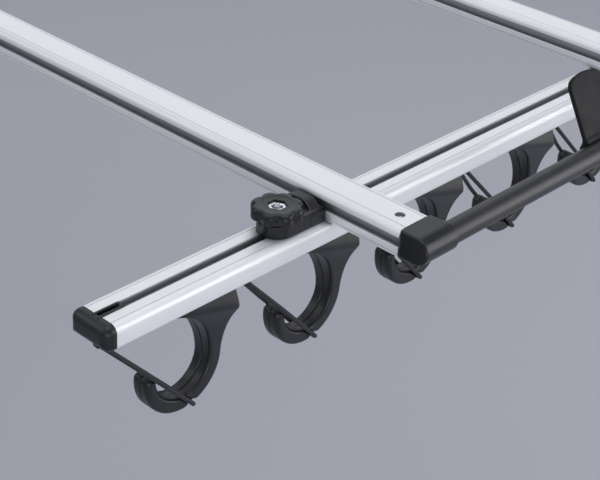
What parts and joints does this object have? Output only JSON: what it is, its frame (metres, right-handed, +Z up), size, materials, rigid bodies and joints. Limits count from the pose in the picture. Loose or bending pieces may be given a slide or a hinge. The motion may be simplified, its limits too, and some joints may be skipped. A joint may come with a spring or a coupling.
{
  "type": "overhead ski and pole rack",
  "caption": "Slotted aluminium bar frame with cross rails, knob clamps and C-shaped hooks closed by elastic bands, for carrying long gear overhead.",
  "frame": {"origin": "centre of the bounding box of the whole rack", "axes": "+Z up when fitted, +Y along the long bars from the pictured end to the other, +X along the cross rails, away from the side the hooks open to"},
  "size_m": [0.894, 1.2552, 0.1848],
  "materials": {
    "satin_aluminium": "satin anodised, fine lines along the extrusion",
    "bright_steel": "zinc plated, bright",
    "gloss_plastic": "black glass-filled nylon, semi-gloss",
    "matte_plastic": "black moulded plastic, fine spark-eroded grain",
    "black_tube": "black powder coat, satin",
    "black_rubber": "rubber-faced, matte",
    "band_rubber": "elastic cord, slightly sheened"
  },
  "bodies": {
    "frame": {"bar_left": "satin_aluminium", "bar_right": "satin_aluminium", "tube_front": "black_tube", "bracket_front": "black_rubber", "joint_front_left": "gloss_plastic", "joint_screw_front_left": "bright_steel", "joint_front_right": "gloss_plastic", "joint_screw_front_right": "bright_steel", "tube_rear": "black_tube", "bracket_rear": "black_rubber", "joint_rear_left": "gloss_plastic", "joint_screw_rear_left": "bright_steel", "joint_rear_right": "gloss_plastic", "joint_screw_rear_right": "bright_steel"},
    "rail_front": {"rail_front": "satin_aluminium", "cap_front_left": "matte_plastic", "cap_front_right": "matte_plastic", "hook_front_1": "matte_plastic", "hook_front_2": "matte_plastic", "hook_front_3": "matte_plastic", "hook_front_4": "matte_plastic", "hook_front_5": "matte_plastic", "hook_front_6": "matte_plastic"},
    "clamp_front_left": {"clamp_base_front_left": "gloss_plastic", "clamp_bolt_front_left": "bright_steel"},
    "knob_front_left": {"knob_front_left": "gloss_plastic", "knob_nut_front_left": "bright_steel"},
    "clamp_front_right": {"clamp_base_front_right": "gloss_plastic", "clamp_bolt_front_right": "bright_steel"},
    "knob_front_right": {"knob_front_right": "gloss_plastic", "knob_nut_front_right": "bright_steel"},
    "band_front_1": {"band_front_1": "band_rubber"},
    "band_front_2": {"band_front_2": "band_rubber"},
    "band_front_3": {"band_front_3": "band_rubber"},
    "band_front_4": {"band_front_4": "band_rubber"},
    "band_front_5": {"band_front_5": "band_rubber"},
    "band_front_6": {"band_front_6": "band_rubber"},
    "rail_rear": {"rail_rear": "satin_aluminium", "cap_rear_left": "matte_plastic", "cap_rear_right": "matte_plastic", "hook_rear_1": "matte_plastic", "hook_rear_2": "matte_plastic", "hook_rear_3": "matte_plastic", "hook_rear_4": "matte_plastic", "hook_rear_5": "matte_plastic", "hook_rear_6": "matte_plastic"},
    "clamp_rear_left": {"clamp_base_rear_left": "gloss_plastic", "clamp_bolt_rear_left": "bright_steel"},
    "knob_rear_left": {"knob_rear_left": "gloss_plastic", "knob_nut_rear_left": "bright_steel"},
    "clamp_rear_right": {"clamp_base_rear_right": "gloss_plastic", "clamp_bolt_rear_right": "bright_steel"},
    "knob_rear_right": {"knob_rear_right": "gloss_plastic", "knob_nut_rear_right": "bright_steel"},
    "band_rear_1": {"band_rear_1": "band_rubber"},
    "band_rear_2": {"band_rear_2": "band_rubber"},
    "band_rear_3": {"band_rear_3": "band_rubber"},
    "band_rear_4": {"band_rear_4": "band_rubber"},
    "band_rear_5": {"band_rear_5": "band_rubber"},
    "band_rear_6": {"band_rear_6": "band_rubber"}
  },
  "joints": [
    {"name": "rail_front_slide", "type": "slide", "parent": "frame", "child": "rail_front", "axis": [0, 1, 0], "range_m": [-0.06, 0.3]},
    {"name": "clamp_front_left_slide", "type": "slide", "parent": "rail_front", "child": "clamp_front_left", "axis": [1, 0, 0], "range_m": [-0.12, 0]},
    {"name": "knob_front_left_turn", "type": "hinge", "parent": "clamp_front_left", "child": "knob_front_left", "pos_m": [-0.2615, -0.5111, 0.03866], "axis": [0, 0, 1], "range_deg": [0, 720]},
    {"name": "clamp_front_right_slide", "type": "slide", "parent": "rail_front", "child": "clamp_front_right", "axis": [1, 0, 0], "range_m": [0, 0.12]},
    {"name": "knob_front_right_turn", "type": "hinge", "parent": "clamp_front_right", "child": "knob_front_right", "pos_m": [0.2615, -0.5111, 0.03866], "axis": [0, 0, 1], "range_deg": [0, 720]},
    {"name": "band_front_1_swing", "type": "hinge", "parent": "rail_front", "child": "band_front_1", "pos_m": [-0.4375, -0.5111, -0.00234], "axis": [0, 1, 0], "range_deg": [0, 43]},
    {"name": "band_front_2_swing", "type": "hinge", "parent": "rail_front", "child": "band_front_2", "pos_m": [-0.3025, -0.5111, -0.00234], "axis": [0, 1, 0], "range_deg": [0, 43]},
    {"name": "band_front_3_swing", "type": "hinge", "parent": "rail_front", "child": "band_front_3", "pos_m": [-0.1675, -0.5111, -0.00234], "axis": [0, 1, 0], "range_deg": [0, 43]},
    {"name": "band_front_4_swing", "type": "hinge", "parent": "rail_front", "child": "band_front_4", "pos_m": [-0.0325, -0.5111, -0.00234], "axis": [0, 1, 0], "range_deg": [0, 43]},
    {"name": "band_front_5_swing", "type": "hinge", "parent": "rail_front", "child": "band_front_5", "pos_m": [0.1025, -0.5111, -0.00234], "axis": [0, 1, 0], "range_deg": [0, 43]},
    {"name": "band_front_6_swing", "type": "hinge", "parent": "rail_front", "child": "band_front_6", "pos_m": [0.2375, -0.5111, -0.00234], "axis": [0, 1, 0], "range_deg": [0, 43]},
    {"name": "rail_rear_slide", "type": "slide", "parent": "frame", "child": "rail_rear", "axis": [0, 1, 0], "range_m": [-0.3, 0.06]},
    {"name": "clamp_rear_left_slide", "type": "slide", "parent": "rail_rear", "child": "clamp_rear_left", "axis": [1, 0, 0], "range_m": [-0.12, 0]},
    {"name": "knob_rear_left_turn", "type": "hinge", "parent": "clamp_rear_left", "child": "knob_rear_left", "pos_m": [-0.2615, 0.5111, 0.03866], "axis": [0, 0, 1], "range_deg": [0, 720]},
    {"name": "clamp_rear_right_slide", "type": "slide", "parent": "rail_rear", "child": "clamp_rear_right", "axis": [1, 0, 0], "range_m": [0, 0.12]},
    {"name": "knob_rear_right_turn", "type": "hinge", "parent": "clamp_rear_right", "child": "knob_rear_right", "pos_m": [0.2615, 0.5111, 0.03866], "axis": [0, 0, 1], "range_deg": [0, 720]},
    {"name": "band_rear_1_swing", "type": "hinge", "parent": "rail_rear", "child": "band_rear_1", "pos_m": [-0.4375, 0.5111, -0.00234], "axis": [0, 1, 0], "range_deg": [0, 43]},
    {"name": "band_rear_2_swing", "type": "hinge", "parent": "rail_rear", "child": "band_rear_2", "pos_m": [-0.3025, 0.5111, -0.00234], "axis": [0, 1, 0], "range_deg": [0, 43]},
    {"name": "band_rear_3_swing", "type": "hinge", "parent": "rail_rear", "child": "band_rear_3", "pos_m": [-0.1675, 0.5111, -0.00234], "axis": [0, 1, 0], "range_deg": [0, 43]},
    {"name": "band_rear_4_swing", "type": "hinge", "parent": "rail_rear", "child": "band_rear_4", "pos_m": [-0.0325, 0.5111, -0.00234], "axis": [0, 1, 0], "range_deg": [0, 43]},
    {"name": "band_rear_5_swing", "type": "hinge", "parent": "rail_rear", "child": "band_rear_5", "pos_m": [0.1025, 0.5111, -0.00234], "axis": [0, 1, 0], "range_deg": [0, 43]},
    {"name": "band_rear_6_swing", "type": "hinge", "parent": "rail_rear", "child": "band_rear_6", "pos_m": [0.2375, 0.5111, -0.00234], "axis": [0, 1, 0], "range_deg": [0, 43]}
  ]
}
